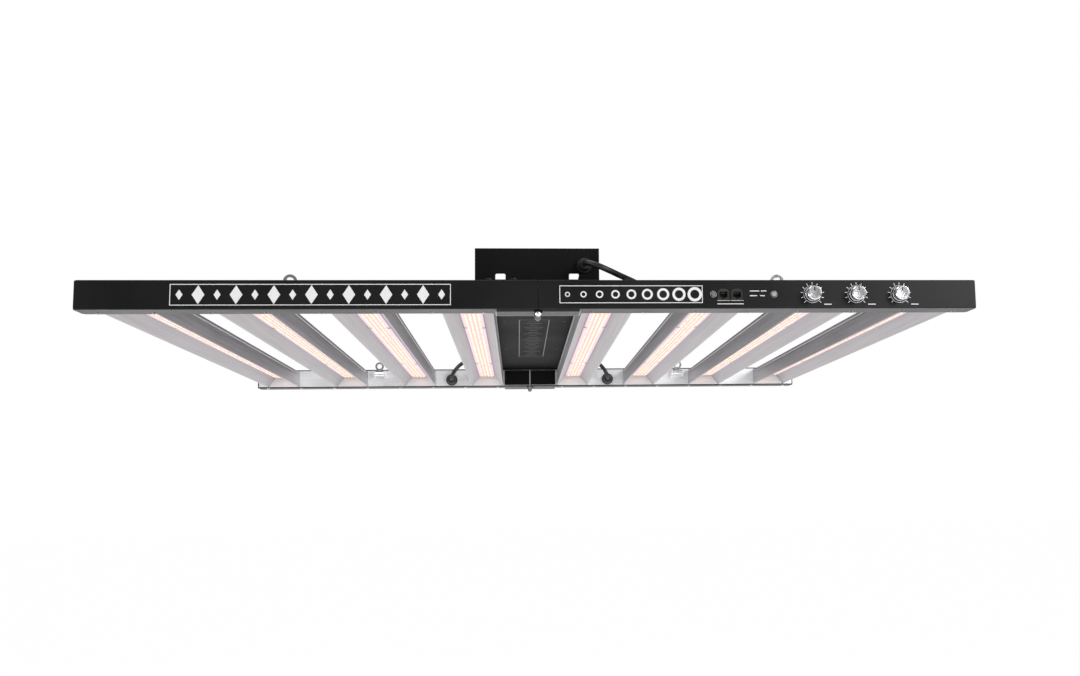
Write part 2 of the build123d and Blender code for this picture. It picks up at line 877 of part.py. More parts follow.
def knob(x):
    """A turned knob on its shaft, with a pointer slot towards the top."""
    face = -depth / 2
    base = face - knob_lift
    top = base - knob_length
    cap = Solid.make_cone(
        knob_radius, knob_top_radius, knob_length, Plane(origin=(x, base, control_height), z_dir=(0, -1, 0))
    )
    rim = cap.edges().group_by(Axis.Y)[0]
    cap = fillet(rim, 1.0)
    cap -= rod_y(x, control_height, (base, base - 3.5), knob_radius - 2.3)
    shaft_span = (face + 7, base - knob_length + 2.5)
    cap -= rod_y(x, control_height, (base, shaft_span[1]), shaft_radius)
    slot = (control_height + 2, control_height + knob_radius + 1)
    cap -= block((x - 0.7, x + 0.7), (top - 1, top + 0.7), slot)
    return [cap, rod_y(x, control_height, shaft_span, shaft_radius)]


def potentiometer(x):
    """A potentiometer behind the rail face, with the bushing its shaft turns in."""
    face = -depth / 2
    half = pot_size / 2
    body = block(
        (x - half, x + half),
        (face + rail_wall + 1.5, face + board_face),
        (control_height - half + 1, control_height + half),
    )
    body += rod_y(x, control_height, (face - 2, face + rail_wall + 2), bushing_radius)
    body += rod_y(x, control_height, (face + rail_wall, face + rail_wall + 2), half - 2)
    body -= rod_y(x, control_height, (face - 3, face + 7.5), shaft_radius + shaft_play)
    return body


def pot_nut(x):
    """The hexagon nut that clamps a potentiometer to the rail."""
    nut = Plane(origin=(x, -depth / 2, control_height), z_dir=(0, -1, 0)) * RegularPolygon(5.6, 6)
    nut = extrude(nut, amount=1.8)
    return nut - rod_y(x, control_height, (-depth / 2 - 3, -depth / 2), bushing_radius)


def port_outline(x, grow):
    """An arched opening or body, as a solid through the rail face."""
    half = port_width / 2 + grow
    low = control_height - port_tall / 2 - grow
    high = control_height + port_tall / 2 + grow
    shape = block((x - half, x + half), (-depth / 2 - 1, -depth / 2 + port_depth), (low, high))
    corners = shape.edges().filter_by(Axis.Y).group_by(Axis.Z)[-1]
    return fillet(corners, half * 0.75)


def control_port(x):
    """A modular socket, flush in its arched opening."""
    face = -depth / 2
    body = port_outline(x, -0.1)
    body -= block((x - 20, x + 20), (face - 2, face), (0, rail_size))
    mouth = (face - 1, face + port_depth - 2)
    low = control_height - 4
    body -= block((x - 5, x + 5), mouth, (low, low + 7.2))
    body -= block((x - 2, x + 2), mouth, (low - 1.6, low + 1))
    return body


def status_light():
    """A small lens in the rail face with its body behind."""
    face = -depth / 2
    body = rod_y(light_x, control_height, (face, face + board_face), light_radius)
    body += rod_y(light_x, control_height, (face + rail_wall, face + rail_wall + 2), light_radius + 1)
    lens = Pos(light_x, face, control_height) * Sphere(light_radius)
    size = light_radius + 1
    keep = block(
        (light_x - size, light_x + size), (face - size, face), (control_height - size, control_height + size)
    )
    return body + (lens & keep)


def mode_button():
    """A push button with a flange that keeps it behind the rail face."""
    face = -depth / 2
    button = rod_y(button_x, control_height, (face - button_lift, face + 6), button_radius)
    flange = (face + rail_wall + 0.5, face + rail_wall + 1.7)
    return button + rod_y(button_x, control_height, flange, button_radius + 1.2)


def control_board():
    """The dimmer board behind the controls, with its button switch and chips."""
    y = -depth / 2 + board_face
    reach = (light_x - 10, knob_places[-1] + 18)
    board = block(reach, (y, y + control_board_thickness), (12.5, 31.5))
    switch = block((button_x - 3.5, button_x + 3.5), (y - 4.5, y), (14.5, 21.5))
    back = y + control_board_thickness
    chips = [block((x - 6, x + 6), (back, back + 2.5), (16, 26)) for x in (270, 320, 375, 432)]
    return [board, switch] + chips


def right_front_rail():
    """The rail half that carries the controls."""
    channel = rail(right, front)
    through = (-depth / 2 - 1, -depth / 2 + rail_wall + 1)
    for x in knob_places:
        channel -= rod_y(x, control_height, through, bushing_radius + screw_hole_play)
    for x in port_places:
        channel -= port_outline(x, 0)
    channel -= rod_y(light_x, control_height, through, light_radius + screw_hole_play)
    channel -= rod_y(button_x, control_height, through, button_radius + button_play)
    return channel


def with_gland_hole(plate, x, height, end):
    """An inner plate with the hole of its gland."""
    through = (from_face(end, rail_size - 3), from_face(end, rail_size + 1))
    return plate - rod_y(x, height, through, gland_thread_radius + screw_hole_play)


def rail_top_holes(channel, end):
    """The left rail with the holes of the tray screws."""
    for x, y in tray_screw_points():
        channel -= rod_z(x, y, (rail_size - rail_wall - 1, rail_size + 1), 2.5)
    return channel


def wing_fasteners(side):
    """Every screw of one wing."""
    pieces = []
    for end in (front, rear):
        for x in bar_places(side):
            pieces += bar_screws(x, end)
        pieces += flange_screws(side, end) + hinge_screws(side, end)
    for x in bar_places(side):
        pieces += board_screws(x)
    if side == right:
        pieces += [pot_nut(x) for x in knob_places]
    return pieces


def save_wing(side, name):
    """Write what both wings have."""
    save(f"{name}_end_caps", end_cap(side, front), end_cap(side, rear))
    save(f"{name}_led_boards", *[led_board(x) for x in bar_places(side)])
    save(f"{name}_seam_plates", seam_plate(side, front), seam_plate(side, rear))
    save(f"{name}_harness", harness(side, front), harness(side, rear))
    save(f"{name}_fasteners", *wing_fasteners(side))
    save(f"{name}_hanger_brackets", *hanger_bracket(side, front), *hanger_bracket(side, rear))
    for end, place in ((front, "front"), (rear, "rear")):
        save(f"{place}_hinge_{name}_leaf", hinge_leaf(side, end))
        save(f"hanging_eye_{name}_{place}", hanging_eye(side, end))


def main():
    """Build and write every sub-part."""
    os.makedirs("parts", exist_ok=True)
    for side, name in ((left, "left"), (right, "right")):
        save_wing(side, name)

    for end, place in ((front, "front"), (rear, "rear")):
        save(f"left_{place}_rail", rail_top_holes(rail(left, end), end))
        save(f"{place}_hinge_pin", hinge_pin(end))
        save(f"{place}_bulkhead", bulkhead(end))
    save("right_front_rail", right_front_rail())
    save("right_rear_rail", rail(right, rear))

    save("left_front_inner_plate", inner_plate(left, front))
    rear_left = inner_plate(left, rear)
    save("left_rear_inner_plate", with_gland_hole(rear_left, -rail_gland_x, rear_gland_height, rear))
    front_right = inner_plate(right, front)
    save("right_front_inner_plate", with_gland_hole(front_right, rail_gland_x, front_gland_height, front))
    rear_right = inner_plate(right, rear)
    save("right_rear_inner_plate", with_gland_hole(rear_right, rail_gland_x, rear_gland_height, rear))

    bars = list(reversed(bar_places(left))) + bar_places(right)
    for number, x in enumerate(bars, start=1):
        save(f"heat_sink_{number}", heat_sink(x))

    save("spine_tray", spine_tray())
    save("driver_case", driver_case())
    save("driver_end_caps", driver_end_cap(front), driver_end_cap(rear))
    save("driver_board", *driver_board())
    save("mains_inlet", mains_inlet())
    save("spine_fasteners", *spine_screws())

    left_glands = [bulkhead_gland(bulkhead_gland_x, front)]
    left_glands += [bulkhead_gland(side * bulkhead_gland_x, rear) for side in (left, right)]
    left_glands.append(rail_gland(-rail_gland_x, rear, rear_gland_height))
    save("left_glands", *left_glands)
    right_glands = [rail_gland(rail_gland_x, front, front_gland_height)]
    right_glands.append(rail_gland(rail_gland_x, rear, rear_gland_height))
    save("right_glands", *right_glands)

    inner_leads = [lead("driver lead, front", inner_lead_points(right, front))]
    inner_leads += [lead("driver lead, rear", inner_lead_points(side, rear)) for side in (left, right)]
    inner_leads.append(lead("mains lead inside", mains_lead_points()))
    save("driver_leads", *inner_leads)
    save("front_lead", lead("front lead", front_lead_points()))
    save("right_lead", lead("right lead", rear_lead_points(right)))
    save("left_lead", lead("left lead", rear_lead_points(left)))

    for number, x in enumerate(knob_places, start=1):
        save(f"knob_{number}", *knob(x))
    save("potentiometers", *[potentiometer(x) for x in knob_places])
    save("control_ports", *[control_port(x) for x in port_places])
    save("status_light", status_light())
    save("mode_button", mode_button())
    save("control_board", *control_board())


main()
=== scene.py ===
import json
import math

import bmesh
import bpy
from mathutils import Matrix, Vector


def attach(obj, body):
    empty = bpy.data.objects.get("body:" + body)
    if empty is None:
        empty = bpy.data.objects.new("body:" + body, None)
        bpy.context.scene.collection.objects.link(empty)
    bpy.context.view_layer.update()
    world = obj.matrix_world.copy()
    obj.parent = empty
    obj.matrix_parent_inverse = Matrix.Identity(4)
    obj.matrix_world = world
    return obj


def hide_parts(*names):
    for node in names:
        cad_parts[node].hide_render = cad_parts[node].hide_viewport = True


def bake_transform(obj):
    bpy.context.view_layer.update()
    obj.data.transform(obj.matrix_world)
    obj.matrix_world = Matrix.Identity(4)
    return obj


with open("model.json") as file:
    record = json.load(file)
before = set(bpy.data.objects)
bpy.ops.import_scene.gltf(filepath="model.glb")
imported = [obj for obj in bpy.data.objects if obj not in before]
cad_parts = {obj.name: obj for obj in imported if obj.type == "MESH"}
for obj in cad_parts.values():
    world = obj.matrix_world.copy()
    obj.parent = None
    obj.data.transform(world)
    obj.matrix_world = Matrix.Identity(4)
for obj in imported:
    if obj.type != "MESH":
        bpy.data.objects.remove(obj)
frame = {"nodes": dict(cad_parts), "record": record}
nodes = frame["nodes"]
scene = bpy.context.scene
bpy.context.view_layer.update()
mm = 0.001
eyeHeight = 42  # the eyes' holes stand this far above the rails' underside, in mm
railSize = 36
print("frame loaded:", len(nodes), "nodes")


def place(x, y, height):
    # millimetres, with heights from the rails' underside, into the row frame
    return Vector((x * mm, y * mm, (height - eyeHeight) * mm))


# camera

camera = {
    "place": (-25.6, -2020.4, -228.9),
    "turn": 4.83,
    "tilt": 7.39,
    "roll": -0.85,
    "lens": 40.8,
    "shift": -0.074,
}


def makeCamera(plan):
    turn, tilt, roll = (math.radians(plan[key]) for key in ("turn", "tilt", "roll"))
    ahead = Vector((math.sin(turn) * math.cos(tilt), math.cos(turn) * math.cos(tilt), math.sin(tilt)))
    level = Vector((math.cos(turn), -math.sin(turn), 0))
    above = level.cross(ahead)
    right = level * math.cos(roll) + above * math.sin(roll)
    above = above * math.cos(roll) - level * math.sin(roll)
    data = bpy.data.cameras.new("studioCamera")
    data.sensor_width = 36
    data.lens = plan["lens"]
    data.shift_x = plan["shift"]
    data.clip_start, data.clip_end = 0.01, 200
    made = bpy.data.objects.new("studioCamera", data)
    axes = Matrix((right, above, -ahead)).transposed()
    made.matrix_world = Matrix.Translation(place(*plan["place"])) @ axes.to_4x4()
    scene.collection.objects.link(made)
    scene.camera = made


makeCamera(camera)
scene.view_settings.view_transform = "Standard"
scene.view_settings.look = "None"
print("camera set")

# shader wiring


class Wire:
    # an output socket; sums on it add Math nodes to its tree
    def __init__(self, finish, socket):
        self.finish, self.socket = finish, socket

    def maths(self, operation, first, second=0.0):
        return self.finish.node("ShaderNodeMath", {"operation": operation}, {0: first, 1: second})

    def __add__(self, other):
        return self.maths("ADD", self, other)

    def __sub__(self, other):
        return self.maths("SUBTRACT", self, other)

    def __mul__(self, other):
        return self.maths("MULTIPLY", self, other)

    def __truediv__(self, other):
        return self.maths("DIVIDE", self, other)

    def __lt__(self, other):
        return self.maths("LESS_THAN", self, other)

    def __abs__(self):
        return self.maths("ABSOLUTE", self)

    def __mod__(self, other):
        return self.maths("FLOORED_MODULO", self, other)


class Finish:
    # one material: its fixed sockets are set here, its varying ones by connect()
    def __init__(self, name, **fixed):
        self.material = bpy.data.materials.new(name)
        self.material.use_nodes = True
        self.tree = self.material.node_tree
        self.shader = next(n for n in self.tree.nodes if n.type == "BSDF_PRINCIPLED")
        for key, value in fixed.items():
            socket = self.shader.inputs[key.replace("_", " ")]
            socket.default_value = value
        self.spot = self.node("ShaderNodeTexCoord", output="Object")

    def node(self, kind, settings=None, inputs=None, output=0):
        made = self.tree.nodes.new(kind)
        for key, value in (settings or {}).items():
            if key == "stops":
                ramp = made.color_ramp
                while len(ramp.elements) < len(value):
                    ramp.elements.new(1.0)
                for stop, (where, shade) in zip(ramp.elements, value):
                    stop.position, stop.color = where, (*shade, 1)
            else:
                setattr(made, key, value)
        for key, value in (inputs or {}).items():
            self.feed(made.inputs[key], value)
        return Wire(self, made.outputs[output])

    def feed(self, socket, value):
        if isinstance(value, Wire):
            self.tree.links.new(value.socket, socket)
        elif hasattr(value, "__len__") and len(value) == 3 and len(socket.default_value) == 4:
            socket.default_value = (*value, 1)
        else:
            socket.default_value = value

    def axis(self, letter):
        return self.node("ShaderNodeSeparateXYZ", None, {0: self.spot}, letter)

    def stretched(self, scale):
        return self.node("ShaderNodeMapping", None, {"Vector": self.spot, "Scale": scale})

    def noise(self, scale, detail=3.0, roughness=0.55, spread=(1, 1, 1)):
        inputs = {"Vector": self.stretched(spread), "Scale": scale, "Detail": detail, "Roughness": roughness}
        return self.node("ShaderNodeTexNoise", None, inputs)

    def ramp(self, factor, *stops):
        return self.node("ShaderNodeValToRGB", {"stops": stops}, {0: factor})

    def span(self, value, low, high, toLow=0.0, toHigh=1.0):
        inputs = {0: value, 1: low, 2: high, 3: toLow, 4: toHigh}
        return self.node("ShaderNodeMapRange", None, inputs)

    def mix(self, factor, first, second):
        return self.node("ShaderNodeMix", {"data_type": "RGBA"}, {0: factor, 6: first, 7: second}, 2)

    def bump(self, height, strength, distance):
        inputs = {"Height": height, "Strength": strength, "Distance": distance}
        self.connect("Normal", self.node("ShaderNodeBump", None, inputs))

    def connect(self, socket, value):
        self.feed(self.shader.inputs[socket], value)


finishes = {}


def keep(slotName, finish):
    finishes[slotName] = finish.material
    return finish.material


# finishes

enamel = {
    "black": (0.0035, 0.0035, 0.0038),
    "lifted": (0.0065, 0.0065, 0.007),
    "orangePeel": 620,
    "specks": 2400,
    "edgeBandOffset": 17.8,
}


def enamelFinish():
    finish = Finish("satinBlackEnamel", Metallic=0.0, Specular_IOR_Level=0.3)
    cloud = finish.noise(9, 3)
    peel = finish.noise(enamel["orangePeel"], 2)
    dust = finish.noise(enamel["specks"], 1, 0.4)
    speck = finish.span(dust, 0.72, 0.78)
    coatAndDarkReflection = finish.mix(finish.span(cloud, 0.35, 0.7), enamel["black"], enamel["lifted"])
    height = finish.axis("Z") * 1000 + eyeHeight
    # lighter, noise-broken band along the rails' top and bottom edges
    edge = finish.span(abs(abs(height - railSize / 2) - enamel["edgeBandOffset"]), 0.0, 0.5, 1.0, 0.0)
    lighterEdgeBand = edge * finish.span(finish.noise(60, 4), 0.52, 0.66)
    coatAndDarkReflection = finish.mix(lighterEdgeBand * 0.35, coatAndDarkReflection, (0.08, 0.08, 0.085))
    finish.connect("Base Color", finish.mix(speck * 0.12, coatAndDarkReflection, (0.06, 0.06, 0.065)))
    finish.connect("Roughness", finish.span(cloud, 0.3, 0.7, 0.34, 0.46) + (peel - 0.5) * 0.08)
    finish.bump(peel + dust * 0.1, 0.12, 0.00006)
    return keep("black_enamel", finish)


spineCoat = {"black": (0.0045, 0.0045, 0.005), "lifted": (0.009, 0.009, 0.0095), "texture": 480}


def spineFinish():
    finish = Finish("mattBlackPowder", Metallic=0.0, Specular_IOR_Level=0.08)
    cloud = finish.noise(7, 3)
    texture = finish.noise(spineCoat["texture"], 2)
    coatAndDarkReflection = finish.mix(finish.span(cloud, 0.35, 0.7), spineCoat["black"], spineCoat["lifted"])
    finish.connect("Base Color", coatAndDarkReflection)
    finish.connect("Roughness", finish.span(cloud, 0.3, 0.7, 0.62, 0.74))
    finish.bump(texture, 0.08, 0.00005)
    return finish.material


sheetSteel = {"bright": (0.94, 0.94, 0.95), "dull": (0.84, 0.84, 0.86), "grain": 260}


def sheetSteelFinish():
    finish = Finish("brushedSheetSteel", Metallic=0.4)
    grain = finish.noise(sheetSteel["grain"], 4, 0.6, (0.02, 1, 1))
    cloud = finish.noise(14, 3)
    metal = finish.mix(finish.span(grain, 0.3, 0.7), sheetSteel["dull"], sheetSteel["bright"])
    finish.connect("Base Color", finish.mix(finish.span(cloud, 0.55, 0.8) * 0.3, metal, (0.5, 0.5, 0.53)))
    finish.connect("Roughness", finish.span(grain, 0.25, 0.75, 0.26, 0.42) + (cloud - 0.5) * 0.12)
    finish.bump(grain, 0.12, 0.0001)
    return keep("bright_steel", finish)


# grey aluminium, with a slight pink tint in the pale and deep tones that is painted light from the diodes
# falling on the bars' walls
barMetal = {"pale": (0.50, 0.48, 0.50), "deep": (0.37, 0.355, 0.37), "dieLines": 700}


def barFinish():
    finish = Finish("extrudedAluminium", Metallic=0.85)
    lines = finish.noise(barMetal["dieLines"], 3, 0.6, (1, 0.006, 1))
    cloud = finish.noise(22, 4, 0.6, (1, 0.3, 1))
    metal = finish.mix(finish.span(lines, 0.3, 0.7), barMetal["deep"], barMetal["pale"])
    finish.connect("Base Color", finish.mix(finish.span(cloud, 0.5, 0.8) * 0.25, metal, (0.36, 0.36, 0.38)))
    finish.connect("Roughness", finish.span(lines, 0.3, 0.7, 0.40, 0.52) + (cloud - 0.5) * 0.1)
    finish.bump(lines, 0.25, 0.0001)
    return keep("bar_aluminium", finish)


bars = {"first": 87.4, "pitch": 137.0, "count": 4, "boardHalf": 492.0, "boardUnder": 19.0}


def acrossBar(finish):
    # millimetres from the middle line of the bar that the point is on
    distance = abs(finish.axis("X")) * 1000
    return (distance - bars["first"] + bars["pitch"] / 2) % bars["pitch"] - bars["pitch"] / 2


def boardFinish():
    finish = Finish("whiteSolderMask", Roughness=0.38, Emission_Strength=0.34)
    across, along = abs(acrossBar(finish)), abs(finish.axis("Y")) * 1000
    trace = finish.span(abs(across - 6.0), 0.25, 0.55, 1.0, 0.0) + finish.span(across, 0.25, 0.55, 1.0, 0.0)
    bareEnd = finish.span(along, 478.0, 482.0)
    edge = finish.span(across, 11.5, 14.5)
    mask = finish.mix(trace * 0.8, (0.62, 0.50, 0.46), (0.42, 0.20, 0.15))
    mask = finish.mix(bareEnd, mask, (0.50, 0.27, 0.13))
    mottle = finish.noise(90, 3)
    finish.connect("Base Color", finish.mix(finish.span(mottle, 0.55, 0.75) * 0.2, mask, (0.7, 0.62, 0.6)))
    glow = finish.mix(edge, (1.0, 0.55, 0.42), (0.68, 0.27, 0.84))
    glow = finish.mix(trace, glow, (0.9, 0.36, 0.26))
    finish.connect("Emission Color", finish.mix(bareEnd, glow, (0.10, 0.05, 0.02)))
    finish.bump(trace + mottle * 0.2, 0.2, 0.0001)
    return keep("led_board", finish)


# hinge leaves: the near-black base colour is painted dark reflection, standing in for polished steel that
# mirrors dark surroundings
darkSheet = {
    "coatAndDarkReflection": (0.018, 0.018, 0.020),
    "pale": (0.035, 0.035, 0.037),
    "wearAndHighlight": (0.42, 0.42, 0.43),
    "sideRim": 51.6,
    "endRim": 502.5,
    "rimTop": 0.2,
}


def darkSteelFinish():
    finish = Finish("steelPaintedDarkReflection", Specular_IOR_Level=0.25)
    height = finish.axis("Z") * 1000 + eyeHeight
    along = abs(finish.axis("Y")) * 1000
    across = abs(finish.axis("X")) * 1000
    grain = finish.noise(420, 3)
    # painted highlight: lighter, metallic rims along the leaves' side edges and inner end, below the rails,
    # stand for edges catching light
    sideRim = finish.span(abs(across - darkSheet["sideRim"]), 0.5, 0.9, 1.0, 0.0)
    rimmed = sideRim + finish.span(abs(along - darkSheet["endRim"]), 0.5, 1.0, 1.0, 0.0)
    low = height < darkSheet["rimTop"]
    wearAndHighlight = rimmed * low * finish.span(finish.noise(70, 3), 0.3, 0.45)
    # painted dark reflection as the leaves' base colour, with a fine grain
    coatAndDarkReflection = finish.mix(grain, darkSheet["coatAndDarkReflection"], darkSheet["pale"])
    finish.connect("Base Color", finish.mix(wearAndHighlight, coatAndDarkReflection, darkSheet["wearAndHighlight"]))
    finish.connect("Metallic", wearAndHighlight * 0.9)
    finish.connect("Roughness", finish.span(grain, 0.3, 0.7, 0.34, 0.5))
    finish.bump(grain, 0.2, 0.00012)
    return keep("dark_steel", finish)


def platedFinish(name, slotName, bright, dull, grain):
    finish = Finish(name, Metallic=1.0)
    cloud = finish.noise(grain, 4)
    fine = finish.noise(grain * 9, 2)
    finish.connect("Base Color", finish.mix(finish.span(cloud, 0.35, 0.7), bright, dull))
    finish.connect("Roughness", finish.span(cloud, 0.3, 0.7, 0.18, 0.34) + (fine - 0.5) * 0.08)
    finish.bump(fine, 0.1, 0.00008)
    return keep(slotName, finish)


screws = {
    "bright": (0.82, 0.83, 0.85),
    "dull": (0.62, 0.63, 0.66),
    "black": (0.03, 0.03, 0.032),
    "leafReach": 60,
    "leafTop": 0.5,
}


def fastenerFinish():
    # zinc plated, but black where the hinge leaves are screwed on
    finish = Finish("platedScrews")
    across = abs(finish.axis("X")) * 1000
    height = finish.axis("Z") * 1000 + eyeHeight
    black = (across < screws["leafReach"]) * (height < screws["leafTop"])
    cloud = finish.noise(130, 4)
    zinc = finish.mix(finish.span(cloud, 0.35, 0.7), screws["bright"], screws["dull"])
    finish.connect("Base Color", finish.mix(black, zinc, screws["black"]))
    finish.connect("Metallic", finish.span(black, 0, 1, 1, 0.3))
    finish.connect("Roughness", finish.span(cloud, 0.3, 0.7, 0.2, 0.36) + black * 0.15)
    finish.bump(finish.noise(1100, 2), 0.1, 0.00008)
    return finish.material


def driverFinish():
    finish = Finish("blackAnodised", Metallic=0.75)
    lines = finish.noise(500, 3, 0.6, (1, 0.01, 1))
    cloud = finish.noise(18, 3)
    coatAndDarkReflection = finish.mix(finish.span(lines, 0.3, 0.7), (0.035, 0.035, 0.037), (0.075, 0.075, 0.08))
    finish.connect("Base Color", coatAndDarkReflection)
    finish.connect("Roughness", finish.span(cloud, 0.3, 0.7, 0.36, 0.5))
    finish.bump(lines, 0.2, 0.0001)
    return keep("driver_aluminium", finish)


def circuitFinish():
    finish = Finish("greenCircuitBoard", Roughness=0.42)
    grid = finish.node(
        "ShaderNodeTexBrick",
        {"offset": 0.5},
        {
            "Vector": finish.spot,
            "Scale": 260.0,
            "Mortar Size": 0.06,
            "Color1": (0.012, 0.085, 0.03),
            "Color2": (0.02, 0.12, 0.045),
            "Mortar": (0.32, 0.22, 0.06),
        },
    )
    cloud = finish.noise(40, 3)
    finish.connect("Base Color", finish.mix(finish.span(cloud, 0.4, 0.7) * 0.5, grid, (0.01, 0.06, 0.03)))
    finish.bump(finish.noise(900, 2), 0.2, 0.0001)
    return keep("circuit_board", finish)


def plasticFinish(name, slotName, shade, other, rough):
    finish = Finish(name, Specular_IOR_Level=0.45)
    grain = finish.noise(1500, 2)
    cloud = finish.noise(60, 3)
    finish.connect("Base Color", finish.mix(finish.span(cloud, 0.35, 0.7), shade, other))
    finish.connect("Roughness", finish.span(cloud, 0.3, 0.7, rough, rough + 0.12))
    finish.bump(grain, 0.25, 0.00008)
    return keep(slotName, finish)


def cableFinish():
    finish = Finish("rubberJacket", Specular_IOR_Level=0.5)
    grain = finish.noise(800, 2)
    cloud = finish.noise(90, 3)
    rubber = finish.mix(finish.span(cloud, 0.4, 0.7), (0.010, 0.010, 0.011), (0.02, 0.02, 0.021))
    finish.connect("Base Color", rubber)
    finish.connect("Roughness", finish.span(cloud, 0.3, 0.7, 0.33, 0.48))
    finish.bump(grain, 0.2, 0.0001)
    return keep("cable_jacket", finish)


def turnedFinish():
    finish = Finish("turnedAluminium", Metallic=1.0)
    near = finish.noise(1200, 2)
    streak = finish.noise(500, 3, 0.6, (1, 0.05, 1))
    metal = finish.mix(finish.span(streak, 0.3, 0.7), (0.72, 0.72, 0.74), (0.9, 0.9, 0.92))
    finish.connect("Base Color", metal)
    finish.connect("Roughness", finish.span(near, 0.3, 0.7, 0.16, 0.28))
    finish.bump(streak, 0.15, 0.0001)
    return keep("knob_metal", finish)


def lensFinish():
    finish = Finish("frostedLens", Roughness=0.25, Coat_Weight=0.6, Coat_Roughness=0.1)
    cloud = finish.noise(700, 2)
    finish.connect("Base Color", finish.mix(cloud, (0.10, 0.11, 0.11), (0.20, 0.21, 0.21)))
    finish.bump(cloud, 0.1, 0.00005)
    return keep("clear_lens", finish)


def inkFinish(name, fresh, wearAndHighlight):
    finish = Finish(name, Specular_IOR_Level=0.3)
    patch = finish.noise(420, 3)
    finish.connect("Base Color", finish.mix(finish.span(patch, 0.58, 0.74) * 0.5, fresh, wearAndHighlight))
    finish.connect("Roughness", finish.span(patch, 0.3, 0.7, 0.5, 0.66))
    return finish.material


def diodeFinish():
    # each diode takes its own tint from the cell that it stands in
    finish = Finish("diodeLens", Roughness=0.3, Emission_Strength=diodes["glow"])
    rows = acrossBar(finish) / (diodes["rowPitch"] / 2)
    columns = finish.axis("Y") * 1000 / (diodes["pitch"] / 2)
    row = finish.node("ShaderNodeMath", {"operation": "ROUND"}, {0: rows})
    column = finish.node("ShaderNodeMath", {"operation": "ROUND"}, {0: columns})
    cell = finish.node("ShaderNodeCombineXYZ", None, {0: row, 1: column})
    pick = finish.node("ShaderNodeTexWhiteNoise", {"noise_dimensions": "3D"}, {"Vector": cell}, "Value")
    tint = finish.ramp(
        pick,
        (0.0, (1.0, 0.70, 0.44)),
        (0.55, (1.0, 0.80, 0.60)),
        (0.74, (1.0, 0.34, 0.30)),
        (0.93, (0.95, 0.25, 0.62)),
        (0.97, (0.42, 0.30, 1.0)),
    )
    finish.connect("Base Color", finish.mix(0.5, tint, (0.9, 0.85, 0.7)))
    finish.connect("Emission Color", tint)
    return finish.material


diodes = {
    "rows": 4,
    "rowPitch": 6.0,
    "columns": 96,
    "pitch": 10.0,
    "side": 2.8,
    "tall": 0.7,
    "window": 2.2,
    "glow": 3.4,
}

controls = {
    "face": -540.0,
    "height": 18.0,
    "knobs": (341.0, 397.0, 452.0),
    "ports": (229.0, 246.0),
    "light": 216.5,
    "button": 292.6,
}

enamelMaterial = enamelFinish()
spineMaterial = spineFinish()
fastenerMaterial = fastenerFinish()
sheetSteelFinish()
barFinish()
boardMaterial = boardFinish()
darkSteelFinish()
platedFinish("brightZinc", "plated_steel", (0.82, 0.83, 0.85), (0.62, 0.63, 0.66), 120)
driverFinish()
circuitFinish()
plasticFinish("blackNylon", "black_plastic", (0.012, 0.012, 0.012), (0.024, 0.024, 0.024), 0.4)
plasticFinish("greyMoulding", "grey_plastic", (0.30, 0.30, 0.30), (0.42, 0.42, 0.42), 0.42)
cableMaterial = cableFinish()
turnedMaterial = turnedFinish()
lensFinish()
inkMaterial = inkFinish("whiteInk", (0.78, 0.78, 0.78), (0.45, 0.45, 0.45))
labelMaterial = inkFinish("greyInk", (0.2, 0.2, 0.21), (0.11, 0.11, 0.115))
diodeMaterial = diodeFinish()

own = {name: spineMaterial for name in ("spine_tray", "front_bulkhead", "rear_bulkhead")}
own.update({f"{side}_seam_plates": spineMaterial for side in ("left", "right")})
own.update({f"{side}_fasteners": fastenerMaterial for side in ("left", "right")})
for row in frame["record"]["subparts"]:
    data = nodes[row["node"]].data
    data.materials.clear()
    data.materials.append(own.get(row["node"]) or finishes[row["material_slot"]])
print("finishes made:", len(bpy.data.materials))

# making pieces


def block(mesh, low, high, material=0):
    size = high - low
    matrix = Matrix.Translation((low + high) / 2) @ Matrix.Diagonal((*size, 1))
    made = bmesh.ops.create_cube(mesh, size=1, matrix=matrix)
    for face in {f for v in made["verts"] for f in v.link_faces}:
        face.material_index = material
    return made["verts"]


def turned(mesh, profile, centre, axis, start, steps, material=0):
    # profile is (radius, distance along the axis), spun a full turn
    before = set(mesh.faces)
    points = [mesh.verts.new(centre + start * r + axis * d) for r, d in profile]
    edges = [mesh.edges.new(pair) for pair in zip(points, points[1:])]
    bmesh.ops.spin(
        mesh, geom=points + edges, cent=centre, axis=axis, angle=math.tau, steps=steps, use_merge=True
    )
    bmesh.ops.remove_doubles(mesh, verts=mesh.verts[:], dist=1e-7)
    made = [f for f in mesh.faces if f not in before]
    for face in made:
        face.material_index = material
    return made


def finishPiece(name, mesh, body, materials, smoothAngle=None):
    bmesh.ops.recalc_face_normals(mesh, faces=mesh.faces[:])
    data = bpy.data.meshes.new(name)
    mesh.to_mesh(data)
    mesh.free()
    for material in materials:
        data.materials.append(material)
    if smoothAngle is not None:
        data.shade_smooth()
        data.set_sharp_from_angle(angle=math.radians(smoothAngle))
    piece = bpy.data.objects.new(name, data)
    scene.collection.objects.link(piece)
    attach(piece, body)
    return piece


# light emitting diodes


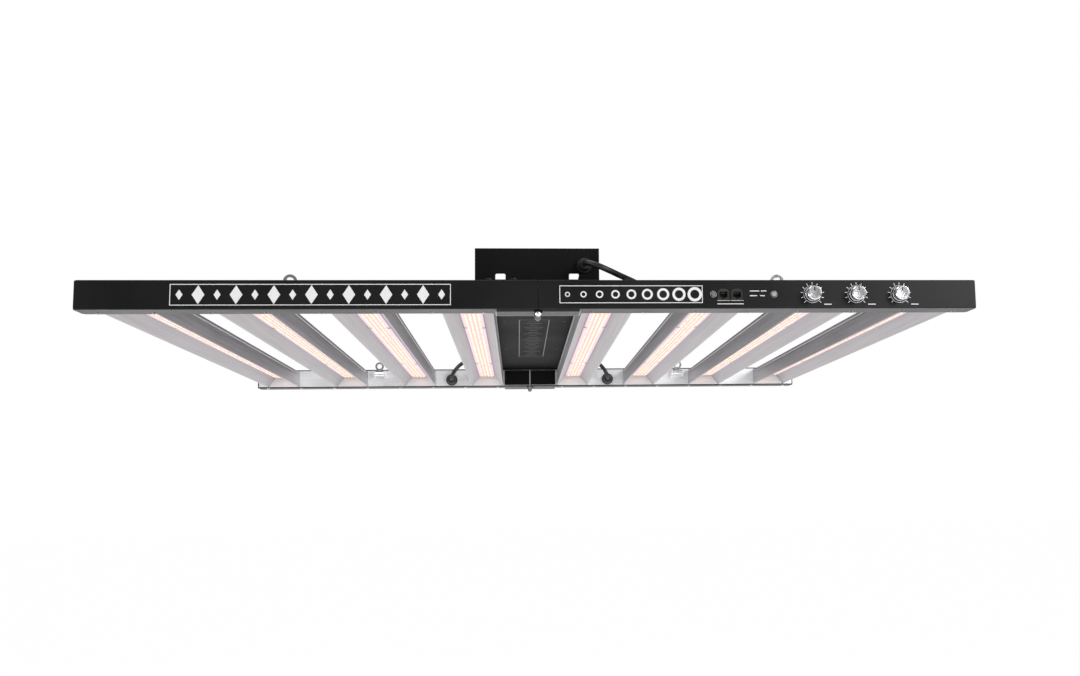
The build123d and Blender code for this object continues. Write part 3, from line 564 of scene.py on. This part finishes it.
def makeDiodes(name, body, side):
    mesh = bmesh.new()
    half = diodes["side"] / 2
    lastBar = bars["first"] + bars["pitch"] * (bars["count"] - 1)
    startX = side * bars["first"] if side > 0 else -lastBar
    x = startX - diodes["rowPitch"] * (diodes["rows"] - 1) / 2
    y = -diodes["pitch"] * (diodes["columns"] - 1) / 2
    top = bars["boardUnder"]
    block(mesh, place(x - half, y - half, top - diodes["tall"]), place(x + half, y + half, top))
    mesh.faces.ensure_lookup_table()
    bmesh.ops.delete(mesh, geom=[f for f in mesh.faces if f.normal.z > 0.5], context="FACES_ONLY")
    window = [f for f in mesh.faces if f.normal.z < -0.5]
    inset = (diodes["side"] - diodes["window"]) / 2
    bmesh.ops.inset_region(mesh, faces=window, thickness=inset * mm, depth=-0.08 * mm, use_even_offset=True)
    for face in mesh.faces:
        face.material_index = 0 if face in window else 1
    data = bpy.data.meshes.new(name)
    mesh.to_mesh(data)
    mesh.free()
    data.materials.append(diodeMaterial)
    data.materials.append(boardMaterial)
    piece = bpy.data.objects.new(name, data)
    scene.collection.objects.link(piece)
    for label, count, step in (
        ("rows", diodes["rows"], (diodes["rowPitch"], 0, 0)),
        ("columns", diodes["columns"], (0, diodes["pitch"], 0)),
        ("bars", bars["count"], (bars["pitch"], 0, 0)),
    ):
        array = piece.modifiers.new(label, "ARRAY")
        array.count = count
        array.use_relative_offset = False
        array.use_constant_offset = True
        array.constant_offset_displace = [value * mm for value in step]
    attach(piece, body)


makeDiodes("left_led_diodes", "left_wing", -1)
makeDiodes("right_led_diodes", "right_wing", 1)
print("diodes placed")

# printed marks on the front rail

ink = {"proud": 0.06, "line": 0.9}


def stripe(mesh, x, height):
    face = controls["face"]
    block(mesh, place(x[0], face - ink["proud"], height[0]), place(x[1], face, height[1]))


def outline(mesh, x, height, line):
    stripe(mesh, x, (height[0], height[0] + line))
    stripe(mesh, x, (height[1] - line, height[1]))
    stripe(mesh, (x[0], x[0] + line), (height[0] + line, height[1] - line))
    stripe(mesh, (x[1] - line, x[1]), (height[0] + line, height[1] - line))


def ring(mesh, x, height, radii, steps, angle=math.tau):
    face = controls["face"]
    centre = place(x, face, height)
    inner, outer = (r * mm for r in radii)
    proud = ink["proud"] * mm
    profile = [(inner, 0), (inner, proud), (outer, proud), (outer, 0)]
    turned(mesh, profile, centre, Vector((0, -1, 0)), Vector((0, 0, 1)), steps)


def tick(mesh, x, height, radii, degrees, wide):
    turn = Matrix.Rotation(math.radians(degrees), 4, Vector((0, 1, 0)))
    centre = place(x, controls["face"], height)
    matrix = Matrix.Translation(centre) @ turn @ Matrix.Translation(-centre)
    face = controls["face"]
    verts = block(
        mesh,
        place(x - wide / 2, face - ink["proud"], height + radii[0]),
        place(x + wide / 2, face, height + radii[1]),
    )
    bmesh.ops.transform(mesh, matrix=matrix, verts=verts)


leftPrint = {
    "x": (-439.0, -106.0),
    "height": (5.0, 31.0),
    "count": 15,
    "tall": 23.0,
    "wide": 15.0,
    "smallShare": 0.55,
}


def makeLeftPrint(plan):
    # a frame round a row of plain diamonds
    mesh = bmesh.new()
    outline(mesh, plan["x"], plan["height"], ink["line"])
    step = (plan["x"][1] - plan["x"][0]) / plan["count"]
    middle = sum(plan["height"]) / 2
    for index in range(plan["count"]):
        x = plan["x"][0] + step * (index + 0.5)
        made = bmesh.ops.create_cone(
            mesh,
            cap_ends=True,
            segments=4,
            radius1=0.5,
            radius2=0.5,
            depth=1,
            matrix=Matrix.Translation(place(x, controls["face"] - ink["proud"] / 2, middle))
            @ Matrix.Diagonal((plan["wide"] * mm, ink["proud"] * mm, plan["tall"] * mm, 1))
            @ Matrix.Rotation(math.radians(90), 4, "X"),
        )
        share = 1 if index % 2 else plan["smallShare"]
        centre = place(x, controls["face"], middle)
        scaled = Matrix.Diagonal((share, 1, share, 1))
        shrink = Matrix.Translation(centre) @ scaled @ Matrix.Translation(-centre)
        bmesh.ops.transform(mesh, matrix=shrink, verts=made["verts"])
    finishPiece("left_rail_print", mesh, "left_wing", [inkMaterial])


makeLeftPrint(leftPrint)

rightPrint = {
    "x": (26.0, 203.0),
    "height": (7.0, 29.0),
    "dots": 9,
    "radius": 6.2,
    "firstShare": 0.5,
    "shareStep": 0.12,
    "hole": 0.62,
    "knobDash": (14.5, 24.0),
    "knobDashHeight": (4.6, 5.8),
    "portHalf": 7.9,
    "portHeight": (9.8, 10.3),
    "portLine": 0.25,
    "dashes": ((262, 12, 21.5), (276, 7, 21.5), (262, 9, 15.5), (275, 6, 15.5)),
    "dashTall": 1.1,
    "portDashHeight": (5.4, 6.4),
    "lightRing": (3.6, 3.9),
    "buttonRing": (3.7, 4.0),
}
dial = {"ring": (10.6, 11.1), "ticks": 11, "tick": (12.0, 15.0), "sweep": 270.0, "wide": 0.8}


def makeRightPrint(plan):
    # a frame round a row of dots that grow, then the marks of the controls
    mesh = bmesh.new()
    outline(mesh, plan["x"], plan["height"], ink["line"])
    step = (plan["x"][1] - plan["x"][0]) / plan["dots"]
    middle = sum(plan["height"]) / 2
    for index in range(plan["dots"]):
        x = plan["x"][0] + step * (index + 0.5)
        radius = plan["radius"] * (plan["firstShare"] + plan["shareStep"] * index)
        ring(mesh, x, middle, (radius * plan["hole"], radius), 28)
    for x in controls["knobs"]:
        ring(mesh, x, controls["height"], dial["ring"], 56)
        for index in range(dial["ticks"]):
            degrees = dial["sweep"] * (index / (dial["ticks"] - 1) - 0.5)
            tick(mesh, x, controls["height"], dial["tick"], degrees, dial["wide"])
        stripe(mesh, (x + plan["knobDash"][0], x + plan["knobDash"][1]), plan["knobDashHeight"])
    for x in controls["ports"]:
        outline(mesh, (x - plan["portHalf"], x + plan["portHalf"]), plan["portHeight"], plan["portLine"])
    for x, wide, height in plan["dashes"]:
        stripe(mesh, (x, x + wide), (height, height + plan["dashTall"]))
    stripe(mesh, (controls["ports"][0] - 8, controls["ports"][1] + 8), plan["portDashHeight"])
    ring(mesh, controls["light"], controls["height"], plan["lightRing"], 28)
    ring(mesh, controls["button"], controls["height"], plan["buttonRing"], 28)
    finishPiece("right_rail_print", mesh, "right_wing", [inkMaterial])


makeRightPrint(rightPrint)
print("rail marks printed")

# a plain label under the spine tray

label = {
    "under": 36.5,
    "across": (-23.0, 23.0),
    "along": (-197.0, 283.0),
    "bars": 24,
    "line": 1.2,
    "longBar": 15.0,
}


def makeTrayLabel(plan):
    mesh = bmesh.new()
    (left, right), (near, far), line = plan["across"], plan["along"], plan["line"]
    low, top = plan["under"] - ink["proud"], plan["under"]
    for x in ((left, left + line), (right - line, right)):
        block(mesh, place(x[0], near, low), place(x[1], far, top))
    for y in (near, far - line):
        block(mesh, place(left + line, y, low), place(right - line, y + line, top))
    step = (far - near) / plan["bars"]
    for index in range(1, plan["bars"]):
        y = near + step * index
        reach = plan["longBar"] if index % 4 == 0 else 6.0 + index % 3 * 3.0
        block(mesh, place(-reach, y - 0.8, low), place(reach, y + 0.8, top))
    finishPiece("tray_label", mesh, "left_wing", [labelMaterial])


makeTrayLabel(label)
print("tray label printed")

# dimmer knobs

knob = {"radius": 9.3, "front": 8.7, "length": 13.0, "lift": 1.0, "flutes": 48, "dish": 6.6}


def makeKnob(number, x):
    mesh = bmesh.new()
    base = place(x, controls["face"] - knob["lift"], controls["height"])
    radius, front, length, dish = knob["radius"], knob["front"], knob["length"], knob["dish"]
    profile = [
        (0.0, 0.6),
        (3.2, 0.6),
        (7.0, 0.6),
        (7.2, 0.0),
        (radius - 0.3, 0.0),
        (radius, 0.3),
        (radius, 1.6),
        (radius - 0.5, 2.0),
        (front + 0.3, 2.2),
        (front, length - 1.6),
        (front - 0.3, length - 1.2),
        (front - 0.9, length),
        (dish + 0.3, length),
        (dish, length - 0.45),
        (dish * 0.5, length - 0.62),
        (0.0, length - 0.65),
    ]
    scaled = [(r * mm, d * mm) for r, d in profile]
    axis = Vector((0, -1, 0))
    turned(mesh, scaled, base, axis, Vector((0, 0, 1)), knob["flutes"] * 2)

    def distance(face):
        return (face.calc_center_median() - base).dot(axis) / mm

    grip = [f for f in mesh.faces if 3 < distance(f) < length - 2 and abs(f.normal.y) < 0.4]
    sides = sorted(grip, key=lambda f: math.atan2(*(f.calc_center_median() - base).xz))
    bmesh.ops.inset_individual(mesh, faces=sides[::2], thickness=0.08 * mm, depth=-0.28 * mm)
    top = controls["face"] - knob["lift"] - knob["length"]
    height = controls["height"]
    block(mesh, place(x - 0.6, top + 0.2, height + 2.6), place(x + 0.6, top + 1.2, height + 8.0), 1)
    piece = finishPiece(
        f"turned_knob_{number}", mesh, f"knob_{number}", [turnedMaterial, enamelMaterial], 32
    )
    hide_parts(f"knob_{number}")


for number, x in enumerate(controls["knobs"], start=1):
    makeKnob(number, x)
print("knobs turned")

# contacts inside the control ports

contacts = {"count": 6, "pitch": 1.2, "wide": 0.5, "depth": (1.5, 9.0)}
goldMaterial = platedFinish("goldContacts", "contacts", (0.85, 0.62, 0.24), (0.7, 0.5, 0.2), 300)


def makeContacts():
    mesh = bmesh.new()
    face = controls["face"]
    near, far = contacts["depth"]
    for port in controls["ports"]:
        for index in range(contacts["count"]):
            x = port + (index - (contacts["count"] - 1) / 2) * contacts["pitch"]
            half = contacts["wide"] / 2
            verts = block(mesh, place(x - half, face + near, 19.4), place(x + half, face + far, 19.9))
            for vert in verts:
                if vert.co.y > place(0, face + near + 1, 0).y:
                    vert.co.z -= 1.6 * mm
    finishPiece("port_contacts", mesh, "right_wing", [goldMaterial])


makeContacts()
print("port contacts placed")

# leads between the spine and the rails

leads = {"diameter": 7.5, "front": 161.9, "rear": 163.8, "driver": 282.5, "mains": 264.8}

frontRoute = [
    (60, -495, 64.5),
    (60, -508, 64.5),
    (69, -519, 60.5),
    (85, -520, 53.5),
    (106, -506, 46.5),
    (128, -484, 41.5),
    (148, -468, 31.5),
    (160, -474, 18.0),
    (160, -492, 18.0),
]


def rearRoute(side):
    return [
        (side * 60, 495, 64.5),
        (side * 60, 508, 64.5),
        (side * 71, 519, 63.5),
        (side * 92, 517, 61.0),
        (side * 117, 499, 56.5),
        (side * 139, 481, 46.5),
        (side * 153, 472, 30.5),
        (side * 160, 475, 14.0),
        (side * 160, 492, 14.0),
    ]


def innerRoute(side, end):
    return [
        (side * 18, end * 201, 56.0),
        (side * 18, end * 233, 56.0),
        (side * 26, end * 285, 46.5),
        (side * 43, end * 340, 44.5),
        (side * 57, end * 392, 50.0),
        (side * 60, end * 440, 64.5),
        (side * 60, end * 476, 64.5),
    ]


mainsRoute = [(0, 201, 56), (0, 241, 56), (4, 311, 47), (-3, 381, 46), (0, 423, 62), (0, 463, 62)]


def makeCurve(name, route, bevel):
    data = bpy.data.curves.new(name, "CURVE")
    data.dimensions = "3D"
    data.resolution_u = 24
    data.bevel_depth = bevel
    data.bevel_resolution = 6
    data.use_fill_caps = bevel > 0
    spline = data.splines.new("NURBS")
    spline.points.add(len(route) - 1)
    for point, spot in zip(spline.points, route):
        point.co = (*place(*spot), 1)
    spline.order_u = 3
    spline.use_endpoint_u = True
    made = bpy.data.objects.new(name, data)
    scene.collection.objects.link(made)
    data.materials.append(cableMaterial)
    return made


def lineOf(route):
    # the spline's own points, read from the curve without its thickness
    bare = makeCurve("bareLine", route, 0.0)
    bpy.context.view_layer.update()
    mesh = bpy.data.meshes.new_from_object(bare)
    points = [v.co.copy() for v in mesh.vertices]
    bpy.data.objects.remove(bare)
    return points


def lengthOf(points):
    return sum((b - a).length for a, b in zip(points, points[1:]))


def makeLead(name, route, node, blended):
    points = lineOf(route)
    tube = makeCurve(name + "Curve", route, leads["diameter"] / 2 * mm)
    bpy.context.view_layer.update()
    data = bpy.data.meshes.new_from_object(tube)
    bpy.data.objects.remove(tube)
    data.name = name
    data.shade_smooth()
    piece = bpy.data.objects.new(name, data)
    scene.collection.objects.link(piece)
    if blended:
        place(64, 0, 0)
        place(150, 0, 0)
        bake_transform(piece)
    else:
        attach(piece, "left_wing")
    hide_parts(node)
    print("lead", name, round(lengthOf(points) / mm, 1), "mm along its line")


makeLead("front_lead_jacket", frontRoute, "front_lead", True)
makeLead("right_lead_jacket", rearRoute(1), "right_lead", True)
makeLead("left_lead_jacket", rearRoute(-1), "left_lead", False)
makeLead("driver_lead_front", innerRoute(1, -1), "driver_leads", False)
makeLead("driver_lead_right", innerRoute(1, 1), "driver_leads", False)
makeLead("driver_lead_left", innerRoute(-1, 1), "driver_leads", False)
makeLead("mains_lead_inside", mainsRoute, "driver_leads", False)

# studio

studio = {"floor": -3.6, "radius": 160.0, "floorGlow": 0.84, "whiteSeen": 1.0, "whiteCast": 0.17}


def makeFloor(plan):
    mesh = bmesh.new()
    bmesh.ops.create_circle(mesh, cap_ends=True, segments=96, radius=plan["radius"])
    bmesh.ops.translate(mesh, verts=mesh.verts[:], vec=(0, 0, plan["floor"]))
    data = bpy.data.meshes.new("studio_floor")
    mesh.to_mesh(data)
    mesh.free()
    finish = Finish("paleFloor", Roughness=0.8, Emission_Strength=plan["floorGlow"])
    cloud = finish.noise(3, 2)
    finish.connect("Base Color", finish.mix(cloud, (0.88, 0.88, 0.88), (0.92, 0.92, 0.92)))
    finish.shader.inputs["Emission Color"].default_value = (1, 1, 1, 1)
    data.materials.append(finish.material)
    floor = bpy.data.objects.new("studio_floor", data)
    scene.collection.objects.link(floor)


def makeLight(name, spot, target, size, power):
    data = bpy.data.lights.new(name, "AREA")
    data.shape = "RECTANGLE"
    data.size, data.size_y = size
    data.energy = power
    made = bpy.data.objects.new(name, data)
    made.location = spot
    made.rotation_mode = "QUATERNION"
    made.rotation_quaternion = (Vector(target) - Vector(spot)).to_track_quat("-Z", "Y")
    scene.collection.objects.link(made)


def makeWorld(plan):
    world = bpy.data.worlds.new("whiteStudio")
    scene.world = world
    world.use_nodes = True
    tree = world.node_tree
    back = next(n for n in tree.nodes if n.type == "BACKGROUND")
    back.inputs["Color"].default_value = (1, 1, 1, 1)
    path = tree.nodes.new("ShaderNodeLightPath")
    level = tree.nodes.new("ShaderNodeMapRange")
    level.inputs["To Min"].default_value = plan["whiteCast"]
    level.inputs["To Max"].default_value = plan["whiteSeen"]
    tree.links.new(path.outputs["Is Camera Ray"], level.inputs["Value"])
    tree.links.new(level.outputs["Result"], back.inputs["Strength"])


makeFloor(studio)
makeWorld(studio)
makeLight("rightSoftbox", (2.6, -3.4, 1.3), (0.35, 0, 0), (1.6, 1.4), 90)
makeLight("topSoftbox", (-0.6, -0.4, 2.6), (0, 0, 0), (2.6, 2.0), 50)
makeLight("leftSoftbox", (-3.2, -1.8, 0.6), (-0.2, 0, 0), (1.4, 1.4), 22)
makeLight("rightFill", (3.2, 0.2, -0.9), (0.5, 0, 0), (1.2, 2.0), 36)
makeLight("leftFill", (-3.2, 0.2, -0.9), (-0.5, 0, 0), (1.2, 2.0), 36)
print("studio lit")
